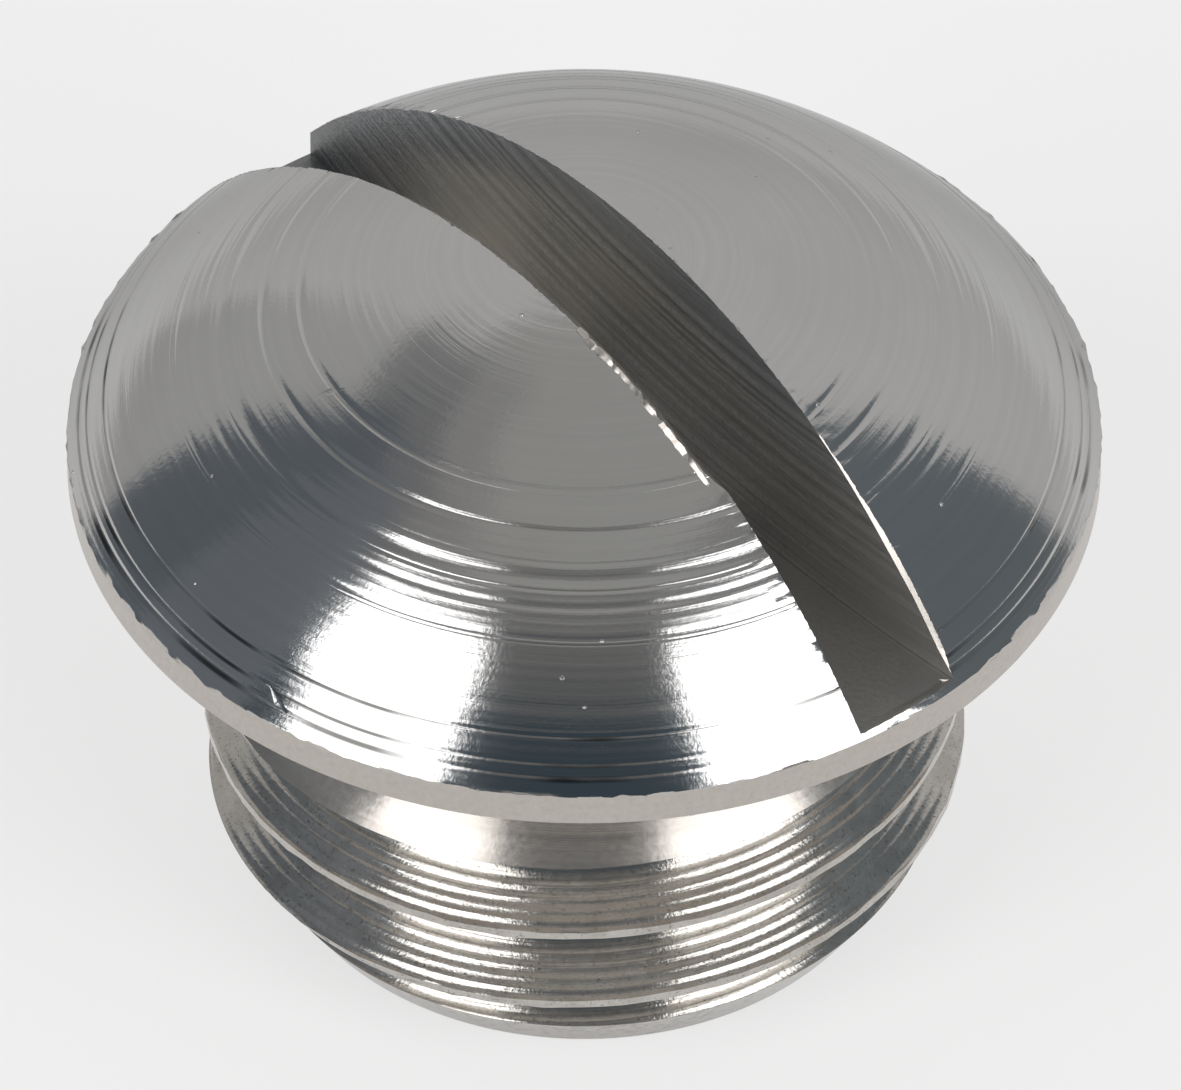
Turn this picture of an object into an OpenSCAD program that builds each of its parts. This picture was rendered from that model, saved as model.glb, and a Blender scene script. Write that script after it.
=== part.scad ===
// Slotted dome-head screw with a short fine-thread shank, turned from bar in one piece.
// It stands on its end face: the origin is the middle of that face and +Z runs up to the head.

/* [Head] */
// diameter of the head across its rim
head_d = 10.8; // [9.6:0.1:14]
// height of the dome above the rim
dome_h = 2.7; // [1.8:0.05:3.6]
// height of the straight rim, from the seat to the foot of the dome
rim_h = 0.4; // [0.2:0.05:1.2]

/* [Driver slot] */
// width of the slot, which is the saw's thickness
slot_w = 1.25; // [0.8:0.05:2]
// depth of the slot's flat floor, down from the top of the dome
slot_depth = 3; // [2:0.05:3.2]
// diameter of the saw, which leaves its own curve in the floor where it stops
saw_d = 40; // [32:1:80]
// how far past the screw's axis the saw's own axis stops
saw_stop = 1.5; // [0:0.05:2.5]

/* [Shank] */
// outside diameter of the thread
thread_d = 8; // [5:0.1:9]
// length of the shank, from the seat under the head to the end face
shank_l = 5.2; // [4:0.1:20]
// length of the lead-in taper at the end
lead_l = 1.1; // [0.4:0.05:1.5]
// how far the lead-in taper comes in on each side
lead_in = 0.7; // [0.3:0.05:1]
// length of the relief in which the thread runs out, from the seat to the foot of its cone
relief_l = 2.2; // [1.6:0.05:2.4]
// how deep the relief's neck is below the thread's outside
relief_depth = 0.7; // [0.4:0.05:0.75]

/* [Hidden] */
$fn = 96;
steel = [0.72, 0.70, 0.67];

head_r = head_d / 2;
thread_r = thread_d / 2;
end_r = thread_r - lead_in;
neck_r = thread_r - relief_depth;
seat_z = shank_l;
relief_z = seat_z - relief_l;
rim_z = seat_z + rim_h;
top_z = rim_z + dome_h;

// the dome is a cap of the sphere that passes through the rim and the top
dome_r = (head_r * head_r + dome_h * dome_h) / (2 * dome_h);
dome_centre_z = top_z - dome_r;

// the floor stays above the seat, so that the rim isn't sawn through
slot_floor_z = max(top_z - slot_depth, seat_z + rim_h / 8);
saw_centre_z = slot_floor_z + saw_d / 2;

// half section of the turned blank, from the end face up to the foot of the dome
module blank_section() {
    polygon([
        [0, 0],
        [end_r, 0],
        [thread_r, lead_l],
        [thread_r, relief_z],
        [neck_r, relief_z + relief_depth],
        [neck_r, seat_z],
        [head_r, seat_z],
        [head_r, rim_z],
        [0, rim_z],
    ]);
}

// half section of the hollow fillet between the relief's neck and the seat
module fillet_section() {
    difference() {
        translate([neck_r, seat_z - relief_depth])
            square(relief_depth);
        translate([thread_r, seat_z - relief_depth])
            circle(r = relief_depth);
    }
}

// half section of the dome, cut from the sphere's own circle
module dome_section() {
    intersection() {
        translate([0, dome_centre_z])
            circle(r = dome_r);
        translate([0, rim_z])
            square([head_r, dome_h]);
    }
}

// the saw, where it stops, and the straight way along X that it came
module slot_saw() {
    translate([saw_stop, 0, saw_centre_z])
        rotate([90, 0, 0])
            cylinder(d = saw_d, h = slot_w, center = true);
    translate([-head_d, -slot_w / 2, slot_floor_z])
        cube([head_d + saw_stop, slot_w, saw_d / 2]);
}

module screw() {
    color(steel)
        difference() {
            rotate_extrude()
                union() {
                    blank_section();
                    fillet_section();
                    dome_section();
                }
            slot_saw();
        }
}

screw();
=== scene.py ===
import math
import random

import bpy
from mathutils import Euler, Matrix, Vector


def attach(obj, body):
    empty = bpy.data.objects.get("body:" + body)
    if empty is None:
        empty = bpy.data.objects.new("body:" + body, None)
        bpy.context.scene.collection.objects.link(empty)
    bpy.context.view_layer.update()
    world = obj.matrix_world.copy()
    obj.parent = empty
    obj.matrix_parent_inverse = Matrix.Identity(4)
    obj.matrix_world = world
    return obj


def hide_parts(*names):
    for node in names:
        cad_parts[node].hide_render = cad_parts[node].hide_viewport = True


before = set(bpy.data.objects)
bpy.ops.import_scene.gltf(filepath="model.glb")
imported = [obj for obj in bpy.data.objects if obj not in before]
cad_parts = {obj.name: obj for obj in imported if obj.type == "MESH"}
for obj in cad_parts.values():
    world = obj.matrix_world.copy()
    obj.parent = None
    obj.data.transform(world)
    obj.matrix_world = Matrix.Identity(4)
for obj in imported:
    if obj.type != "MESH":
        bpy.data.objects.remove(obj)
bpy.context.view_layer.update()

# Shapes are drawn in millimetres about the screw's axis and brought to metres when they are done.
millimetre = 0.001
domeTurned, plainTurned, threadCut, slotSawn = range(4)  # the screw's four finishes

head = {
    "radius": 5.375,  # a little under the solid's, which leaves room for the burr
    "domeH": 2.69,
    "rimH": 0.4,
    "rimEdge": 0.03,
    "segments": 320,
}
shank = {
    "length": 5.2,
    "endR": 3.3,
    "leadL": 1.1,
    "reliefZ": 3.0,  # height where the relief's cone starts in from the crests
    "reliefDepth": 0.7,
    "segments": 160,
}
# the camera, which also says where the thread's crests and the knocks on the dome are seen
view = {
    "azimuth": 51.0,
    "elevation": 44.26,
    "distance": 324.0,
    "aimHeight": 3.984,
    "aimRight": 0.067,
    "lens": 947.3,
}

seatZ = shank["length"]
rimZ = seatZ + head["rimH"]
topZ = rimZ + head["domeH"]
domeR = (head["radius"] ** 2 + head["domeH"] ** 2) / (2 * head["domeH"])
domeZ = topZ - domeR


def deselectAll():
    if bpy.context.mode != "OBJECT":
        bpy.ops.object.mode_set(mode="OBJECT")
    bpy.ops.object.select_all(action="DESELECT")


def drawProfile(name, points, closed=False):
    # one vertex of a plane is extruded from point to point
    deselectAll()
    bpy.ops.mesh.primitive_plane_add(size=0.1, location=(0, 0, 0))
    piece = bpy.context.object
    piece.name = name
    bpy.ops.object.mode_set(mode="EDIT")
    bpy.ops.mesh.select_mode(type="VERT")
    bpy.ops.mesh.select_all(action="SELECT")
    bpy.ops.mesh.merge(type="CENTER")
    here = Vector(points[0])
    bpy.ops.transform.translate(value=here)
    for point in points[1:]:
        step = Vector(point) - here
        bpy.ops.mesh.extrude_region_move(TRANSFORM_OT_translate={"value": step})
        here = Vector(point)
    if closed:
        bpy.ops.mesh.select_all(action="SELECT")
        bpy.ops.mesh.remove_doubles(threshold=1e-5)
    return piece


def spinProfile(piece, steps, angle=math.tau, centre=(0, 0, 0), axis=(0, 0, 1)):
    bpy.ops.mesh.select_all(action="SELECT")
    bpy.ops.mesh.spin(steps=steps, angle=angle, center=centre, axis=axis)
    bpy.ops.mesh.select_all(action="SELECT")
    bpy.ops.mesh.remove_doubles(threshold=1e-5)
    bpy.ops.mesh.normals_make_consistent(inside=False)
    bpy.ops.object.mode_set(mode="OBJECT")
    return piece


def joinBody(body, other, operation):
    boolean = body.modifiers.new(operation.title(), "BOOLEAN")
    boolean.operation = operation
    boolean.solver = "MANIFOLD"
    boolean.object = other
    deselectAll()
    bpy.context.view_layer.objects.active = body
    body.select_set(True)
    bpy.ops.object.modifier_apply(modifier=boolean.name)
    bpy.data.objects.remove(other)


def giveSlots(piece, finishes, index):
    piece.data.materials.clear()
    for finish in finishes:
        piece.data.materials.append(finish)
    for face in piece.data.polygons:
        face.material_index = index


def roughen(piece, jag, chosen):
    # the vertices that chosen names are shifted at random, as a burr is
    shift, seed = jag
    deselectAll()
    bpy.context.view_layer.objects.active = piece
    piece.select_set(True)
    bpy.ops.object.mode_set(mode="EDIT")
    bpy.ops.mesh.select_mode(type="VERT")
    bpy.ops.mesh.select_all(action="DESELECT")
    bpy.ops.object.mode_set(mode="OBJECT")
    for vertex in piece.data.vertices:
        vertex.select = chosen(vertex.co)
    bpy.ops.object.mode_set(mode="EDIT")
    bpy.ops.transform.vertex_random(offset=shift, uniform=0.0, normal=0.0, seed=seed)
    bpy.ops.object.mode_set(mode="OBJECT")


toolMarks = {
    # grooves over the dome, from the rim inwards: down to this radius, their widths, their depths
    "scored": (4.75, (0.08, 0.14), (0.0002, 0.0012)),
    "smooth": (4.20, (0.09, 0.16), (0.0003, 0.0014)),
    "streaky": (3.55, (0.09, 0.13), (0.0008, 0.0022)),
    "fine": (0.0, (0.10, 0.17), (0.0003, 0.0016)),
    # single passes that bit deeper: radius, with width and depth
    "bites": {
        2.94: (0.10, 0.0082),
        3.33: (0.12, 0.0085),
        3.76: (0.20, 0.0115),
        4.00: (0.10, 0.0045),
        4.26: (0.09, 0.0042),
        4.98: (0.05, 0.0050),
        5.16: (0.045, 0.0045),
        5.245: (0.06, 0.0060),
    },
    # rings near the rim painted near-black: radius, with half its width
    "darkRings": {4.99: 0.022, 5.17: 0.02, 5.26: 0.03},
    "points": 4,  # along each groove
    "plainTop": 0.06,  # this close to the top no groove is cut
    "seed": 11,
}


def grooveAt(radius):
    # the least and the greatest width and depth of the grooves that the tool left here
    for name in ("scored", "smooth", "streaky", "fine"):
        least, widths, depths = toolMarks[name]
        if radius >= least:
            return widths, depths


def domeLine():
    # the turned line from the rim up to the top, with a shallow groove for every pass of the tool
    luck = random.Random(toolMarks["seed"])
    sweep = math.asin(head["radius"] / domeR)
    length = sweep * domeR
    bites = {}
    for radius, (width, depth) in toolMarks["bites"].items():
        bites[(sweep - math.asin(radius / domeR)) * domeR - width / 2] = width, depth
    line = []
    turned = 0.0
    while turned < length - toolMarks["plainTop"]:
        ahead = min([start for start in bites if start > turned - 1e-6] + [length])
        if ahead - turned < 1e-6:
            width, depth = bites[ahead]
        else:
            widths, depths = grooveAt(domeR * math.sin(sweep - turned / domeR))
            width = min(luck.uniform(*widths), ahead - turned)
            depth = depths[0] + (depths[1] - depths[0]) * luck.random() ** 1.5
        for count in range(toolMarks["points"]):
            part = count / toolMarks["points"]
            angle = sweep - (turned + part * width) / domeR
            reach = domeR - depth * (1 - (2 * part - 1) ** 2)
            line.append((reach * math.sin(angle), 0, domeZ + reach * math.cos(angle)))
        turned += width
    line.append((0, 0, topZ))
    return line


def makeHead(finishes):
    edge = head["rimEdge"]
    line = [
        (0, 0, seatZ),
        (head["radius"] - edge, 0, seatZ),
        (head["radius"], 0, seatZ + edge),
        (head["radius"], 0, rimZ - 4 * edge),  # keeps the burr to the upper edge
        (head["radius"], 0, rimZ - edge),
    ]
    piece = spinProfile(drawProfile("screw_head", line + domeLine()), head["segments"])
    giveSlots(piece, finishes, plainTurned)
    for face in piece.data.polygons:
        if face.center.z > rimZ:
            face.material_index = domeTurned
    return piece


thread = {
    "outerR": 3.985,
    "pitch": 1.0,
    "depth": 0.50,
    "lean": 35.0,  # of the worn flanks, in degrees
    "crest": 0.09,
    "crestAtFront": 2.2,  # height of a crest on the side that faces the camera
    "ridges": 5,  # tool marks down each flank
    "ridgeWidth": (0.7, 1.3),  # relative to each other
    "ridgeDepth": (0.004, 0.009),
    "points": 5,  # along each ridge
    "rootSteps": 4,  # of the round root, to each side of its middle
    "turns": 8,
    "turnsBelow": 4,  # of them, those that start under the crest named above
    "segments": 120,
    "seed": 5,
}


def flankLine(luck):
    # a flank from crest to root, hollowed between the ridges that the tool left
    crestHalf = thread["crest"] / 2
    lean = math.radians(thread["lean"])
    length = thread["depth"] / math.cos(lean)
    widths = [luck.uniform(*thread["ridgeWidth"]) for ridge in range(thread["ridges"])]
    points = []
    done = 0.0
    for width in widths:
        depth = luck.uniform(*thread["ridgeDepth"])
        for count in range(thread["points"]):
            part = count / thread["points"]
            along = (done + part * width) / sum(widths) * length
            sunk = depth * 4 * part * (1 - part)
            radius = thread["outerR"] - along * math.cos(lean) - sunk * math.sin(lean)
            points.append((radius, crestHalf + along * math.sin(lean) - sunk * math.cos(lean)))
        done += width
    points.append((thread["outerR"] - thread["depth"], crestHalf + length * math.sin(lean)))
    return points


def threadLine():
    # one pitch of the thread, from the middle of a crest to the middle of the next
    luck = random.Random(thread["seed"])
    middle = thread["pitch"] / 2
    lower = flankLine(luck)
    upper = [(radius, thread["pitch"] - z) for radius, z in reversed(flankLine(luck))]
    lean = math.radians(thread["lean"])
    rootR = (middle - lower[-1][1]) / math.cos(lean)
    rootX = thread["outerR"] - thread["depth"] + rootR * math.sin(lean)
    root = []
    for step in range(1 - thread["rootSteps"], thread["rootSteps"]):
        angle = (math.pi / 2 - lean) * step / thread["rootSteps"]
        root.append((rootX - rootR * math.cos(angle), middle + rootR * math.sin(angle)))
    line = [(thread["outerR"], 0.0)] + lower + root + upper + [(thread["outerR"], thread["pitch"])]
    return [(radius, 0, z) for radius, z in line]


def makeShank(finishes):
    frontTurn = (view["azimuth"] - 90) / 360
    start = thread["crestAtFront"] - frontTurn * thread["pitch"] - thread["turnsBelow"] * thread["pitch"]
    piece = drawProfile("screw_shank", [(x, y, z + start) for x, y, z in threadLine()])
    bpy.ops.object.mode_set(mode="OBJECT")
    helix = piece.modifiers.new("Helix", "SCREW")
    helix.axis = "Z"
    helix.angle = math.tau
    helix.screw_offset = thread["pitch"]
    helix.iterations = thread["turns"]
    helix.steps = thread["segments"]
    helix.render_steps = thread["segments"]
    helix.use_merge_vertices = False
    bpy.ops.object.modifier_apply(modifier=helix.name)
    bpy.ops.object.mode_set(mode="EDIT")
    bpy.ops.mesh.select_all(action="SELECT")
    bpy.ops.mesh.remove_doubles(threshold=1e-4)
    below, above = 0.4, 0.5  # left over at the ends, for the blank to cut off
    for height, outwards in ((-below, -1), (seatZ + above, 1)):
        bpy.ops.mesh.select_all(action="SELECT")
        bpy.ops.mesh.bisect(plane_co=(0, 0, height), plane_no=(0, 0, outwards),
                            use_fill=True, clear_outer=True)
    bpy.ops.mesh.select_all(action="SELECT")
    bpy.ops.mesh.normals_make_consistent(inside=False)
    bpy.ops.object.mode_set(mode="OBJECT")
    giveSlots(piece, finishes, threadCut)

    # the turned blank that the thread was cut on: lead-in taper, relief cone, neck and fillet
    outer = thread["outerR"]
    spare = 0.08  # the blank stands this far off the crests
    intoHead = 0.15  # how far the shank runs up into the head
    filletSteps = 8
    taper = (outer - shank["endR"]) / shank["leadL"]
    hollow = shank["reliefDepth"]
    neckR = outer - hollow
    line = [(0, 0, 0), (shank["endR"], 0, 0), (outer + spare, 0, shank["leadL"] + spare / taper)]
    line.append((outer + spare, 0, shank["reliefZ"] - spare))
    line.append((neckR, 0, shank["reliefZ"] + hollow))
    for count in range(filletSteps + 1):
        turn = math.radians(90 * count / filletSteps)
        line.append((outer - hollow * math.cos(turn), 0, seatZ - hollow * (1 - math.sin(turn))))
    line += [(outer, 0, seatZ + intoHead), (0, 0, seatZ + intoHead)]
    blank = spinProfile(drawProfile("blank", line), shank["segments"])
    giveSlots(blank, finishes, plainTurned)
    joinBody(piece, blank, "INTERSECT")
    return piece


slot = {
    "width": 1.25,
    "depth": 2.99,
    "sawR": 20.0,
    "sawStop": 1.5,  # how far past the axis the saw's own axis came
    "arcSteps": 24,
}
floorZ = topZ - slot["depth"]
slotHalf = slot["width"] / 2


def makeSaw(finishes):
    # the saw's own arc where it stops, and the flat floor along the way that it came
    reach = 7.0  # past the rim
    above = topZ + 1
    line = [(-reach, -slotHalf, floorZ), (slot["sawStop"], -slotHalf, floorZ)]
    for count in range(1, slot["arcSteps"] + 1):
        x = slot["sawStop"] + (reach - slot["sawStop"]) * count / slot["arcSteps"]
        rise = slot["sawR"] - math.sqrt(slot["sawR"] ** 2 - (x - slot["sawStop"]) ** 2)
        line.append((x, -slotHalf, floorZ + rise))
    line += [(reach, -slotHalf, above), (-reach, -slotHalf, above), line[0]]
    saw = drawProfile("slot_saw", line, closed=True)
    bpy.ops.mesh.select_all(action="SELECT")
    bpy.ops.mesh.edge_face_add()
    bpy.ops.mesh.select_all(action="SELECT")
    bpy.ops.mesh.extrude_region_move(TRANSFORM_OT_translate={"value": (0, slot["width"], 0)})
    bpy.ops.mesh.select_all(action="SELECT")
    bpy.ops.mesh.normals_make_consistent(inside=False)
    bpy.ops.object.mode_set(mode="OBJECT")
    giveSlots(saw, finishes, slotSawn)
    return saw


chamfers = {
    # the strips that break the slot's edges reach this far into the slot and over the dome
    "inside": 0.1,
    "outside": 0.5,
    "far": 0.05,
    "farSteep": 50.0,
    "farFrom": 2.8,  # the far edge is broken from here nearly to the rim
    "farTo": 5.3,
    "farRings": 10,
    "farLift": (0.1, 0.04, 0.03, 0.02, 0.01),  # of the first rings, where it fades in
    "farEndLift": 0.06,
    "near": 0.13,
    "nearFrom": -5.6,  # the near edge is broken from the back up to the next value
    "nearTo": 3.4,
    "nearRings": 14,
    "nearLift": 0.25,
}


def turnAt(reach):
    # how far round the dome's middle a place at this reach along X lies
    return math.asin(reach / domeR)


def makeEdgeStrip(name, finishes, corners, reaches, steps):
    # a strip along the slot, spun about the middle of the dome from one reach along X to another
    first, last = (turnAt(reach) for reach in reaches)
    centre = (0, 0, domeZ)
    line = [(0, y, domeZ + reach) for y, reach in corners]
    strip = drawProfile(name, line + line[:1], closed=True)
    bpy.ops.mesh.select_all(action="SELECT")
    bpy.ops.transform.rotate(value=-first, orient_axis="Y", center_override=centre)
    bpy.ops.mesh.select_all(action="SELECT")
    bpy.ops.mesh.edge_face_add()
    spinProfile(strip, steps, angle=first - last, centre=centre, axis=(0, 1, 0))
    giveSlots(strip, finishes, plainTurned)
    return strip


def shiftRing(strip, turn, rise):
    # lifts or sinks one ring of a strip, so that its end fades out
    deselectAll()
    bpy.context.view_layer.objects.active = strip
    bpy.ops.object.mode_set(mode="EDIT")
    bpy.ops.mesh.select_mode(type="VERT")
    bpy.ops.mesh.select_all(action="DESELECT")
    bpy.ops.object.mode_set(mode="OBJECT")
    for vertex in strip.data.vertices:
        vertex.select = abs(math.atan2(vertex.co.x, vertex.co.z - domeZ) - turn) < 0.001
    bpy.ops.object.mode_set(mode="EDIT")
    bpy.ops.transform.translate(value=(rise * math.sin(turn), 0, rise * math.cos(turn)))
    bpy.ops.object.mode_set(mode="OBJECT")


def domeReach(y):
    # how far the dome stands off its middle in the plane at y along the slot
    return math.sqrt(domeR ** 2 - y ** 2)


def makeFarChamfer(finishes):
    inside, outside = slotHalf - chamfers["inside"], slotHalf + chamfers["outside"]
    steep = math.tan(math.radians(chamfers["farSteep"]))
    foot = domeReach(slotHalf) - chamfers["far"] - chamfers["inside"] * steep
    top = foot + (outside - inside) * steep
    corners = [(inside, foot), (outside, top), (inside, top)]
    reaches = chamfers["farFrom"], chamfers["farTo"]
    strip = makeEdgeStrip("far_chamfer", finishes, corners, reaches, chamfers["farRings"])
    first, last = (turnAt(reach) for reach in reaches)
    lifts = dict(enumerate(chamfers["farLift"]))
    lifts[chamfers["farRings"]] = chamfers["farEndLift"]
    for ring, rise in lifts.items():
        shiftRing(strip, first + (last - first) * ring / chamfers["farRings"], rise)
    return strip


def makeNearChamfer(finishes):
    inside, outside = chamfers["inside"] - slotHalf, -slotHalf - chamfers["outside"]
    foot = domeReach(slotHalf) - chamfers["near"] - chamfers["inside"]
    top = foot + inside - outside
    corners = [(inside, foot), (outside, top), (inside, top)]
    reaches = chamfers["nearFrom"], chamfers["nearTo"]
    strip = makeEdgeStrip("near_chamfer", finishes, corners, reaches, chamfers["nearRings"])
    shiftRing(strip, turnAt(chamfers["nearTo"]), chamfers["nearLift"])
    return strip


burr = {
    # how far the points along an edge are shifted at random, and the seed
    "rimEdge": (0.027, 7),
    "slotEdge": (0.008, 8),
    "floorEnd": (0.02, 12),
    "crest": (0.014, 10),
    # the lip that the saw pushed up along the slot's near edge, as a row of lumps
    "lipFrom": 0.8,
    "lipTo": 2.95,
    "lumpLong": (0.20, 0.55),
    "lumpStep": 0.055,
    "lumpWide": (0.045, 0.10),
    "lumpTall": (0.018, 0.045),
    "lumpGap": (-0.12, 0.02),
    "lumpJag": 0.014,
    "lumpSunk": 0.12,  # how far its foot lies under the dome
    "lumpOver": 0.02,  # how far it laps over the broken edge
    "seed": 4,
}


def makeLump(finishes, reaches, wide, tall, seed):
    edge = -slotHalf - chamfers["near"] + burr["lumpOver"]
    side = edge - wide
    sunk = domeReach(side) - burr["lumpSunk"]
    corners = [
        (edge, sunk),
        (edge, domeReach(edge) + 0.6 * tall),
        (edge - 0.35 * wide, domeReach(edge) + tall),
        (side, domeReach(side) + 0.2 * tall),
        (side, sunk),
    ]
    steps = max(4, round((reaches[1] - reaches[0]) / burr["lumpStep"]))
    lump = makeEdgeStrip("edge_lump", finishes, corners, reaches, steps)
    for reach in reaches:
        shiftRing(lump, turnAt(reach), -0.7 * tall - burr["lumpOver"])

    def onTop(place):
        proud = math.hypot(place.x, place.z - domeZ) > domeReach(place.y)
        return proud and reaches[0] + burr["lumpOver"] < place.x < reaches[1] - burr["lumpOver"]

    roughen(lump, (burr["lumpJag"], seed), onTop)
    return lump


def addLip(body, finishes):
    luck = random.Random(burr["seed"])
    start = burr["lipFrom"]
    while start < burr["lipTo"]:
        stop = min(start + luck.uniform(*burr["lumpLong"]), burr["lipTo"] + 0.15)
        wide = luck.uniform(*burr["lumpWide"])
        tall = luck.uniform(*burr["lumpTall"])
        joinBody(body, makeLump(finishes, (start, stop), wide, tall, luck.randrange(1, 99)), "UNION")
        start = stop + luck.uniform(*burr["lumpGap"])


nicks = {
    # small knocks on the dome: azimuth from the camera's side, radius, length, width, depth, turn
    "rim_left": (-37.2, 5.21, 0.42, 0.13, 0.012, 60.0),
    "left": (-61.0, 2.97, 0.40, 0.11, 0.008, -30.0),
}


def makeNick(name, finishes):
    azimuth, radius, length, wide, deep, turn = nicks[name]
    lean = math.asin(radius / domeR)
    around = math.radians(view["azimuth"] + azimuth) - math.pi / 2
    place = (radius * math.cos(around), radius * math.sin(around), domeZ + domeR * math.cos(lean))
    spot = Euler((0, lean, around)).to_matrix() @ Euler((0, 0, math.radians(turn))).to_matrix()
    deselectAll()
    bpy.ops.mesh.primitive_uv_sphere_add(segments=4, ring_count=2, radius=1, location=place,
                                         rotation=spot.to_euler(), scale=(length / 2, wide / 2, deep))
    nick = bpy.context.object
    bpy.ops.object.transform_apply(location=True, rotation=True, scale=True)
    giveSlots(nick, finishes, domeTurned)
    return nick


class Wire:
    # a socket of a finish, on which sums are written as plain expressions
    def __init__(self, tree, socket=None):
        self.tree = tree
        self.socket = socket

    def node(self, kind, settings, sockets, out=0):
        made = self.tree.nodes.new(kind)
        for name, value in settings.items():
            setattr(made, name, value)
        for name, value in sockets.items():
            if isinstance(value, Wire):
                self.tree.links.new(value.socket, made.inputs[name])
            else:
                made.inputs[name].default_value = value
        return Wire(self.tree, made.outputs[out])

    def maths(self, operation, *values):
        return self.node("ShaderNodeMath", {"operation": operation}, dict(enumerate(values)))

    def other(self, name):
        return Wire(self.tree, self.socket.node.outputs[name])

    def __add__(self, other):
        return self.maths("ADD", self, other)

    def __radd__(self, other):
        return self.maths("ADD", other, self)

    def __sub__(self, other):
        return self.maths("SUBTRACT", self, other)

    def __rsub__(self, other):
        return self.maths("SUBTRACT", other, self)

    def __mul__(self, other):
        return self.maths("MULTIPLY", self, other)

    def __rmul__(self, other):
        return self.maths("MULTIPLY", other, self)

    def __pow__(self, other):
        return self.maths("POWER", self, other)


def newFinish(name):
    finish = bpy.data.materials.new(name)
    finish.use_nodes = True
    tree = finish.node_tree
    shader = tree.nodes["Principled BSDF"]
    return finish, Wire(tree), shader


def feed(wire, shader, sockets):
    for name, value in sockets.items():
        if isinstance(value, Wire):
            wire.tree.links.new(value.socket, shader.inputs[name])
        else:
            shader.inputs[name].default_value = value


def placeInMillimetres(wire):
    place = wire.node("ShaderNodeTexCoord", {}, {}, "Object")
    place = wire.node("ShaderNodeVectorMath", {"operation": "SCALE"}, {0: place, "Scale": 1 / millimetre})
    split = wire.node("ShaderNodeSeparateXYZ", {}, {0: place})
    return place, split, split.other("Y"), split.other("Z")


def noise(wire, place, scale, detail=2.0, rough=0.5):
    return wire.node("ShaderNodeTexNoise", {},
                     {"Vector": place, "Scale": scale, "Detail": detail, "Roughness": rough})


def lineNoise(wire, along, scale, detail=2.0, rough=0.5):
    return wire.node("ShaderNodeTexNoise", {"noise_dimensions": "1D"},
                     {"W": along, "Scale": scale, "Detail": detail, "Roughness": rough})


def ramp(wire, value, low, high):
    # 0 up to low, 1 from high on
    return wire.node("ShaderNodeMapRange", {"interpolation_type": "SMOOTHSTEP"},
                     {"Value": value, "From Min": low, "From Max": high})


def blend(wire, mask, first, second):
    return wire.node("ShaderNodeMix", {"data_type": "RGBA"}, {"Factor": mask, 6: first, 7: second}, 2)


def bump(wire, height, distance, under=None):
    sockets = {"Strength": 1.0, "Distance": distance * millimetre, "Height": height}
    if under:
        sockets["Normal"] = under
    return wire.node("ShaderNodeBump", {}, sockets)


domeSteel = {
    "dark": (0.49, 0.49, 0.487, 1),
    "light": (0.56, 0.553, 0.543, 1),
    "patch": (0.48, 0.467, 0.45, 1),
    "darkening": (0.05, 0.048, 0.045, 1),
    "tint": (0.6, 0.6, 0.6, 1),  # of the shine at a glancing angle
    "wobble": 0.02,  # how far the rings stray from true circles
}


def makeDomeFinish():
    finish, wire, shader = newFinish("domeTurnedSteel")
    place, x, y, z = placeInMillimetres(wire)
    r = (x * x + y * y) ** 0.5
    wobble = noise(wire, place, 0.7, 1.0) * domeSteel["wobble"]
    rings = lineNoise(wire, r + wobble, 11.0, 4.0, 0.62)
    patches = noise(wire, place, 0.45, 3.0, 0.55)
    grain = noise(wire, place, 20.0, 3.0, 0.6)
    cells = wire.node("ShaderNodeTexVoronoi", {}, {"Vector": place, "Scale": 3.2}, "Distance")
    pick = wire.node("ShaderNodeSeparateColor", {}, {0: cells.other("Color")})
    speck = (1 - ramp(wire, cells, 0.03, 0.08)) * ramp(wire, pick, 0.80, 0.82)
    # rings near the rim painted near-black, faded in and out by noise
    ringDark = 0.0
    for radius, wide in toolMarks["darkRings"].items():
        off = wire.maths("ABSOLUTE", r + wobble - (radius + domeSteel["wobble"] / 2))
        ringDark = wire.maths("MAXIMUM", ringDark, 1 - ramp(wire, off, 0.3 * wide, wide))
    ringDark = ringDark * (1 - 0.9 * ramp(wire, noise(wire, place, 0.7, 2.0), 0.32, 0.52))
    normal = bump(wire, rings, 0.0022)
    normal = bump(wire, grain, 0.0010, normal)
    normal = bump(wire, speck, 0.02, normal)
    colour = blend(wire, rings, domeSteel["dark"], domeSteel["light"])
    colour = blend(wire, ramp(wire, patches, 0.35, 0.75) * 0.5, colour, domeSteel["patch"])
    colour = blend(wire, ringDark * 0.9, colour, domeSteel["darkening"])
    feed(wire, shader, {"Base Color": colour, "Metallic": 1.0, "Roughness": 0.1 + 0.07 * patches,
                        "Anisotropic": 0.5, "Anisotropic Rotation": 0.25, "Normal": normal,
                        "Specular Tint": domeSteel["tint"]})
    return finish


plainSteel = {
    "dark": (0.43, 0.395, 0.36, 1),
    "light": (0.56, 0.525, 0.49, 1),
    "shaded": (0.30, 0.275, 0.25, 1),
    "darkening": (0.22, 0.21, 0.2, 1),  # on the lead-in taper
    "spots": (0.08, 0.075, 0.07, 1),
}


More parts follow.
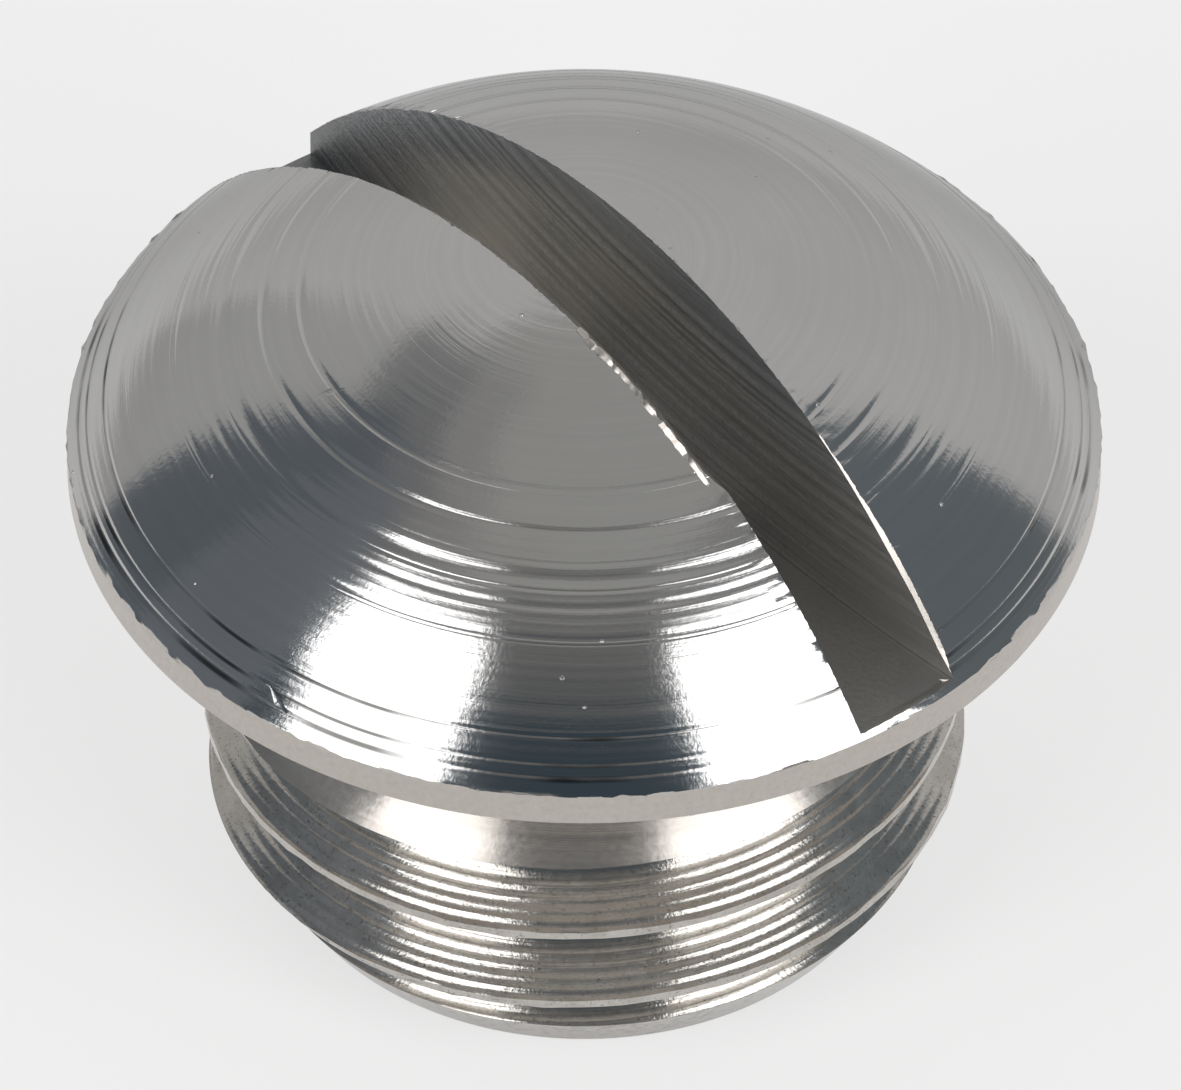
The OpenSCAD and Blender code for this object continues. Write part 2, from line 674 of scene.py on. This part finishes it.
def makePlainFinish():
    finish, wire, shader = newFinish("plainTurnedSteel")
    place, x, y, z = placeInMillimetres(wire)
    rings = lineNoise(wire, z, 16.0, 3.0, 0.6)
    grain = noise(wire, place, 14.0, 3.0, 0.6)
    normal = bump(wire, rings, 0.0015)
    normal = bump(wire, grain, 0.0008, normal)
    colour = blend(wire, grain, plainSteel["dark"], plainSteel["light"])
    # darker towards the end face
    darkening = (1 - ramp(wire, z + grain, 0.6, 1.6)) * 0.6
    spots = (1 - ramp(wire, z, 0.9, 1.3)) * ramp(wire, noise(wire, place, 9.0, 4.0, 0.65), 0.45, 0.75)
    colour = blend(wire, darkening, colour, plainSteel["darkening"])
    colour = blend(wire, spots * 0.7, colour, plainSteel["spots"])
    onRim = ramp(wire, z, seatZ - 0.1, seatZ)
    shaded = (1 - onRim) * (0.03 + 0.35 * ramp(wire, lineNoise(wire, z, 7.0, 2.0), 0.45, 0.6))
    colour = blend(wire, shaded, colour, plainSteel["shaded"])
    rough = 0.15 + 0.1 * grain + 0.09 * onRim
    feed(wire, shader, {"Base Color": colour, "Metallic": 0.85, "Roughness": rough, "Normal": normal})
    return finish


threadSteel = {
    "dark": (0.48, 0.455, 0.42, 1),
    "light": (0.64, 0.62, 0.59, 1),
    # painted shade deep in the groove, over an even darkening of dirt all over
    "darkening": (0.26, 0.23, 0.20, 1),
    "patch": (0.27, 0.245, 0.215, 1),
    # painted shade at the root, also the colour of the specks
    "rootShade": (0.10, 0.09, 0.08, 1),
}


def makeThreadFinish():
    finish, wire, shader = newFinish("threadCutSteel")
    place, x, y, z = placeInMillimetres(wire)
    r = (x * x + y * y) ** 0.5
    lines = lineNoise(wire, r + noise(wire, place, 1.2, 1.0) * 0.03, 26.0, 3.0, 0.6)
    grain = noise(wire, place, 9.0, 4.0, 0.6)
    fine = noise(wire, place, 30.0, 2.0, 0.6)
    patches = noise(wire, place, 2.2, 3.0, 0.6)
    normal = bump(wire, lines, 0.0016)
    normal = bump(wire, grain, 0.0012, normal)
    normal = bump(wire, fine, 0.0015, normal)
    # painted shade: the colour darkens deep in the groove towards the root, over an even bit of dirt all
    # over, and the root is painted darkest; the specks share the root's colour
    deep = 1 - ramp(wire, r + grain * 0.12, thread["outerR"] - 0.55, thread["outerR"] - 0.25)
    rootShade = 1 - ramp(wire, r + grain * 0.1, thread["outerR"] - 0.49, thread["outerR"] - 0.42)
    speck = ramp(wire, fine, 0.6, 0.68) * 0.5
    darkening = 0.08 + 0.14 * deep
    colour = blend(wire, grain, threadSteel["dark"], threadSteel["light"])
    colour = blend(wire, darkening, colour, threadSteel["darkening"])
    colour = blend(wire, ramp(wire, patches, 0.45, 0.65) * 0.25, colour, threadSteel["patch"])
    colour = blend(wire, wire.maths("MAXIMUM", rootShade * 0.12, speck), colour, threadSteel["rootShade"])
    feed(wire, shader, {"Base Color": colour, "Metallic": 1 - 0.5 * darkening, "Roughness": 0.08 + 0.10 * grain,
                        "Normal": normal})
    return finish


slotSteel = {
    "dark": (0.40, 0.40, 0.395, 1),
    "light": (0.74, 0.735, 0.72, 1),
    "grain": (0.38, 0.37, 0.355, 1),
    "stain": (0.66, 0.615, 0.56, 1),
    "shade": (0.38, 0.405, 0.43, 1),  # under the far edge
    # painted light on the far wall by the slot's open front end
    "front": (0.84, 0.82, 0.78, 1),
    # painted shade on the slot's floor
    "floor": (0.28, 0.27, 0.255, 1),
    # painted shade at the slot's back end
    "rearShade": (0.16, 0.16, 0.16, 1),
    "worn": (0.92, 0.87, 0.80, 1),
}


def makeSlotFinish():
    finish, wire, shader = newFinish("slotSawnSteel")
    place, x, y, z = placeInMillimetres(wire)
    along = x - slot["sawStop"]
    up = z - (floorZ + slot["sawR"])
    reach = (along * along + up * up) ** 0.5
    lines = lineNoise(wire, reach + noise(wire, place, 0.8, 1.0) * 0.02, 9.0, 4.0, 0.7)
    lines = ramp(wire, lines, 0.25, 0.75)
    stain = noise(wire, place, 0.8, 3.0, 0.5)
    normal = bump(wire, lines, 0.006)
    grain = noise(wire, place, 16.0, 3.0, 0.65)
    normal = bump(wire, grain, 0.005, normal)
    sunk = domeR - (x * x + (z - domeZ) * (z - domeZ)) ** 0.5
    colour = blend(wire, lines, slotSteel["dark"], slotSteel["light"])
    colour = blend(wire, ramp(wire, grain, 0.4, 0.65) * 0.4, colour, slotSteel["grain"])
    colour = blend(wire, ramp(wire, stain, 0.45, 0.7) * 0.5, colour, slotSteel["stain"])
    shade = (1 - ramp(wire, sunk, 0.15, 0.75)) * ramp(wire, y, 0.0, 0.1)
    colour = blend(wire, shade * 0.6, colour, slotSteel["shade"])
    # painted shade: the slot's floor, where it curves up to the front, is painted darker
    floor = ramp(wire, reach, slot["sawR"] - 0.02, slot["sawR"] - 0.005) * ramp(wire, x, 1.0, 2.0)
    # painted light: the far wall is painted lighter towards the slot's open front end
    front = ramp(wire, x, 2.0, 4.5) * ramp(wire, y, slotHalf - 0.05, slotHalf - 0.01)
    colour = blend(wire, front * 0.75, colour, slotSteel["front"])
    colour = blend(wire, floor * 0.7, colour, slotSteel["floor"])
    # painted shade: the slot darkens towards its back end
    rearShade = 1 - ramp(wire, x, -5.2, -3.2)
    colour = blend(wire, rearShade * 0.75, colour, slotSteel["rearShade"])
    worn = ramp(wire, x, -3.9, -3.0) * (1 - ramp(wire, x, -2.6, -1.2)) * ramp(wire, sunk, 0.4, 0.8)
    colour = blend(wire, worn * 0.6, colour, slotSteel["worn"])
    rough = 0.38 + 0.1 * lines
    feed(wire, shader, {"Base Color": colour, "Metallic": 1.0, "Roughness": rough, "Normal": normal})
    return finish


finishes = [makeDomeFinish(), makePlainFinish(), makeThreadFinish(), makeSlotFinish()]
print("finishes made")

body = makeHead(finishes)
print("head turned", len(body.data.polygons))
stem = makeShank(finishes)
print("shank threaded", len(stem.data.polygons))
joinBody(body, stem, "UNION")
joinBody(body, makeSaw(finishes), "DIFFERENCE")
print("slot sawn", len(body.data.polygons))
joinBody(body, makeFarChamfer(finishes), "DIFFERENCE")
joinBody(body, makeNearChamfer(finishes), "DIFFERENCE")
for name in nicks:
    joinBody(body, makeNick(name, finishes), "DIFFERENCE")
print("slot's edges broken and dome knocked", len(body.data.polygons))

addLip(body, finishes)
print("lip along the slot", len(body.data.polygons))


def onRimEdge(place):
    # the rim's upper edge, away from the slot's ends
    if abs(place.y) < slotHalf + 0.25:
        return False
    atRim = math.hypot(place.x, place.y) > head["radius"] - 0.05
    return atRim and abs(place.z - rimZ) < 0.5 * head["rimEdge"]


def onSlotEdge(place):
    near = chamfers["near"]
    reach = math.hypot(place.x, place.z - domeZ)
    return abs(abs(place.y) - slotHalf) < near and abs(reach - domeR) < near and place.z > rimZ + 0.3


def onFloorEnd(place):
    # where the slot's floor comes out at the front, over the rim
    return abs(place.y) < slotHalf - 0.02 and place.x > 5.2 and rimZ + 0.01 < place.z < rimZ + 0.15


def onCrest(place):
    return abs(math.hypot(place.x, place.y) - thread["outerR"]) < 0.01 and place.z < shank["reliefZ"]


roughen(body, burr["rimEdge"], onRimEdge)
roughen(body, burr["slotEdge"], onSlotEdge)
roughen(body, burr["floorEnd"], onFloorEnd)
roughen(body, burr["crest"], onCrest)
body.name = "screw_turned"
print("edges roughened")

deselectAll()
bpy.context.view_layer.objects.active = body
body.select_set(True)
bpy.ops.object.mode_set(mode="EDIT")
bpy.ops.mesh.select_all(action="SELECT")
bpy.ops.transform.resize(value=(millimetre,) * 3, center_override=(0, 0, 0))
bpy.ops.object.mode_set(mode="OBJECT")
bpy.ops.object.shade_smooth_by_angle(angle=math.radians(28))

# the slot's walls are flat, up to their edges
bpy.ops.object.mode_set(mode="EDIT")
bpy.ops.mesh.select_mode(type="FACE")
bpy.ops.mesh.select_all(action="DESELECT")
bpy.ops.object.mode_set(mode="OBJECT")
for face in body.data.polygons:
    face.select = face.material_index == slotSawn and abs(face.normal.y) > 0.9
bpy.ops.object.mode_set(mode="EDIT")
bpy.ops.mesh.faces_shade_flat()
bpy.ops.object.mode_set(mode="OBJECT")

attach(body, "root")
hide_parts("screw")


def aimedFrom(azimuth, elevation, distance, about=(0, 0, 0)):
    # a place seen from the screw, with azimuth counted from the camera's side, plus to the right
    turn = math.radians(view["azimuth"] + azimuth)
    rise = math.radians(elevation)
    way = Vector((math.sin(turn) * math.cos(rise), -math.cos(turn) * math.cos(rise), math.sin(rise)))
    return Vector(about) + way * distance


def makeCamera():
    turn = math.radians(view["azimuth"])
    right = Vector((math.cos(turn), math.sin(turn), 0))
    aim = (Vector((0, 0, view["aimHeight"])) + right * view["aimRight"]) * millimetre
    lens = bpy.data.cameras.new("photo_camera")
    lens.sensor_width = 36
    lens.lens = view["lens"]
    camera = bpy.data.objects.new("photo_camera", lens)
    camera.location = aimedFrom(0, view["elevation"], view["distance"] * millimetre, aim)
    camera.rotation_euler = (aim - camera.location).to_track_quat("-Z", "Y").to_euler()
    bpy.context.scene.collection.objects.link(camera)
    bpy.context.scene.camera = camera


studio = {
    "floorColour": (0.84, 0.835, 0.83, 1),
    "floorLift": 0.62,  # share of plain white in the floor, so that it stays pale
    "floorDrop": 0.02,  # the floor lies this far under the end face, in millimetres
    "distance": 0.35,  # of the softboxes
    # upright softboxes: azimuth, width, elevation of the foot and of the top
    "boxes": {
        "left": (-47.7, 38.0, 32.0, 55.0),
        "left_low": (-44.9, 32.4, 3.0, 32.0),
        "right": (46.5, 43.0, 3.0, 55.0),
    },
    "boxGlow": 3.2,  # brightness of the softboxes, against white
    # cards round the object: azimuth from, to, elevation from, to, glow
    "cards": {
        "front": (-70, 69, -3, 42, (0.055, 0.08, 0.1)),
        "front_middle": (-70, 69, 42, 50, (0.15, 0.155, 0.16)),
        "front_upper": (-78, 74, 50, 58, (0.20, 0.20, 0.20)),
        "front_high": (-80, 112, 58, 66, (0.28, 0.28, 0.275)),
        "left_side": (-118, -98, -3, 58, (0.14, 0.16, 0.183)),
        "left_near": (-98, -70, -3, 58, (0.19, 0.21, 0.235)),
        "left_upper": (-124, -80, 54, 66, (0.23, 0.235, 0.245)),
        "left_high": (-150, -60, 66, 75, (0.36, 0.36, 0.36)),
        "right_side": (69, 114, -3, 58, (0.17, 0.195, 0.215)),
        "back_left": (-142, -118, -3, 50, (0.50, 0.50, 0.495)),
        "back_left_top": (-146, -118, 50, 66, (0.28, 0.285, 0.29)),
        "back": (114, 244, -3, 60, (0.65, 0.645, 0.64)),
        "ceiling": (0, 360, 56, 90, (0.45, 0.45, 0.44)),
    },
    "cardDistance": 0.74,
    "cardGap": 0.02,  # each card stands this far behind the one before it
    "worldGlow": 0.3,  # strength of the surroundings where they are not seen
}


def makeCard(name, card, reach):
    low, high, foot, top, glow = card
    upSteps, roundSteps = 8, 24
    line = []
    for count in range(upSteps + 1):
        rise = foot + (top - foot) * count / upSteps
        line.append(aimedFrom(low, rise, reach))
    piece = drawProfile("card_" + name, line)
    spinProfile(piece, roundSteps, angle=-math.radians(high - low))
    deselectAll()
    finish = bpy.data.materials.new("card_" + name)
    finish.use_nodes = True
    tree = finish.node_tree
    tree.nodes.remove(tree.nodes["Principled BSDF"])
    lit = tree.nodes.new("ShaderNodeEmission")
    lit.inputs["Color"].default_value = glow + (1,)
    tree.links.new(lit.outputs[0], tree.nodes["Material Output"].inputs["Surface"])
    piece.data.materials.append(finish)
    piece.visible_camera = False
    piece.visible_shadow = False


def seenRays(wire):
    path = wire.node("ShaderNodeLightPath", {}, {}, "Is Camera Ray")
    return wire.maths("MAXIMUM", wire.maths("MAXIMUM", path, path.other("Is Glossy Ray")),
                      path.other("Is Transmission Ray"))


def makeFloor():
    deselectAll()
    bpy.ops.mesh.primitive_plane_add(size=4, location=(0, 0, -studio["floorDrop"] * millimetre))
    floor = bpy.context.object
    floor.name = "floor"
    finish, wire, shader = newFinish("paleFloor")
    feed(wire, shader, {"Base Color": studio["floorColour"], "Roughness": 0.9, "Specular IOR Level": 0.1})
    white = wire.node("ShaderNodeEmission", {}, {"Color": (1, 1, 1, 1)})
    plain = Wire(wire.tree, shader.outputs[0])
    lift = seenRays(wire) * studio["floorLift"]
    surface = wire.node("ShaderNodeMixShader", {}, {0: lift, 1: plain, 2: white})
    wire.tree.links.new(surface.socket, wire.tree.nodes["Material Output"].inputs["Surface"])
    floor.data.materials.append(finish)


def makeStudio():
    makeFloor()
    away = studio["distance"]
    for name, (azimuth, wide, foot, top) in studio["boxes"].items():
        low, high = (away * math.tan(math.radians(rise)) for rise in (foot, top))
        lamp = bpy.data.lights.new("softbox_" + name, "AREA")
        lamp.shape = "RECTANGLE"
        lamp.size = 2 * away * math.tan(math.radians(wide / 2))
        lamp.size_y = high - low
        lamp.energy = studio["boxGlow"] * math.pi * lamp.size * lamp.size_y
        box = bpy.data.objects.new("softbox_" + name, lamp)
        level = aimedFrom(azimuth, 0, away)
        box.location = level + Vector((0, 0, (low + high) / 2))
        box.rotation_euler = (-level).to_track_quat("-Z", "Y").to_euler()
        box.visible_camera = False
        bpy.context.scene.collection.objects.link(box)
    for place, (name, card) in enumerate(studio["cards"].items()):
        makeCard(name, card, studio["cardDistance"] + studio["cardGap"] * place)
    world = bpy.data.worlds.new("studio")
    bpy.context.scene.world = world
    world.use_nodes = True
    wire = Wire(world.node_tree)
    glow = seenRays(wire) * (1 - studio["worldGlow"]) + studio["worldGlow"]
    sky = world.node_tree.nodes["Background"]
    sky.inputs["Color"].default_value = (1, 1, 1, 1)
    world.node_tree.links.new(glow.socket, sky.inputs["Strength"])


makeCamera()
makeStudio()
bpy.context.scene.view_settings.view_transform = "Standard"
print("studio set")
